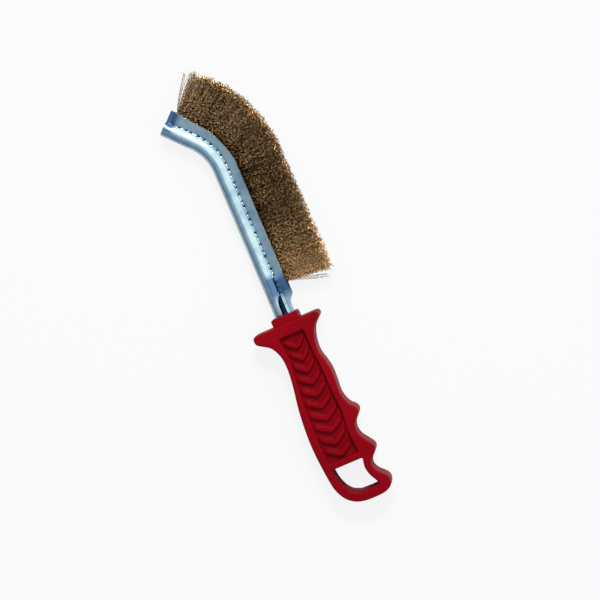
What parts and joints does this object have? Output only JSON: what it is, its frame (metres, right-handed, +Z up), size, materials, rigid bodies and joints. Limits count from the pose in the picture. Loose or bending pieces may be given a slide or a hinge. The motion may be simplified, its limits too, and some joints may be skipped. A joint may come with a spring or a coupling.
{
  "type": "wire brush",
  "caption": "Hand wire brush: crimped wires folded into a bent sheet-steel channel, set in a moulded plastic handle with finger grooves, a guard and a hang loop.",
  "frame": {"origin": "middle of the part's bounding box in plan, on the surface that the brush lies on", "axes": "+X runs along the brush from the bent tip to the hang loop, +Y is the way the wires point, +Z is up out of the upper flat side of the brush as it lies on its side"},
  "size_m": [0.272, 0.0626, 0.018],
  "materials": {
    "red_plastic": "injection-moulded polypropylene, deep red, satin to semi-gloss",
    "zinc_plated_steel": "bright zinc-plated folded sheet steel with a bluish passivate",
    "core_steel": "plain drawn steel wire",
    "brassed_wire": "crimped steel wire with a thin brass coat, dull golden brown"
  },
  "bodies": {
    "root": {"handle": "red_plastic", "channel": "zinc_plated_steel", "core_wire": "core_steel", "wire_bundle_01": "brassed_wire", "wire_bundle_02": "brassed_wire", "wire_bundle_03": "brassed_wire", "wire_bundle_04": "brassed_wire", "wire_bundle_05": "brassed_wire", "wire_bundle_06": "brassed_wire", "wire_bundle_07": "brassed_wire", "wire_bundle_08": "brassed_wire", "wire_bundle_09": "brassed_wire", "wire_bundle_10": "brassed_wire", "wire_bundle_11": "brassed_wire", "wire_bundle_12": "brassed_wire", "wire_bundle_13": "brassed_wire", "wire_bundle_14": "brassed_wire", "wire_bundle_15": "brassed_wire", "wire_bundle_16": "brassed_wire", "wire_bundle_17": "brassed_wire", "wire_bundle_18": "brassed_wire", "wire_bundle_19": "brassed_wire", "wire_bundle_20": "brassed_wire", "wire_bundle_21": "brassed_wire", "wire_bundle_22": "brassed_wire", "wire_bundle_23": "brassed_wire", "wire_bundle_24": "brassed_wire", "wire_bundle_25": "brassed_wire", "wire_bundle_26": "brassed_wire", "wire_bundle_27": "brassed_wire", "wire_bundle_28": "brassed_wire", "wire_bundle_29": "brassed_wire", "wire_bundle_30": "brassed_wire", "wire_bundle_31": "brassed_wire", "wire_bundle_32": "brassed_wire", "wire_bundle_33": "brassed_wire", "wire_bundle_34": "brassed_wire", "wire_bundle_35": "brassed_wire", "wire_bundle_36": "brassed_wire", "wire_bundle_37": "brassed_wire", "wire_bundle_38": "brassed_wire", "wire_bundle_39": "brassed_wire", "wire_bundle_40": "brassed_wire", "wire_bundle_41": "brassed_wire", "wire_bundle_42": "brassed_wire", "wire_bundle_43": "brassed_wire", "wire_bundle_44": "brassed_wire"}
  },
  "joints": []
}
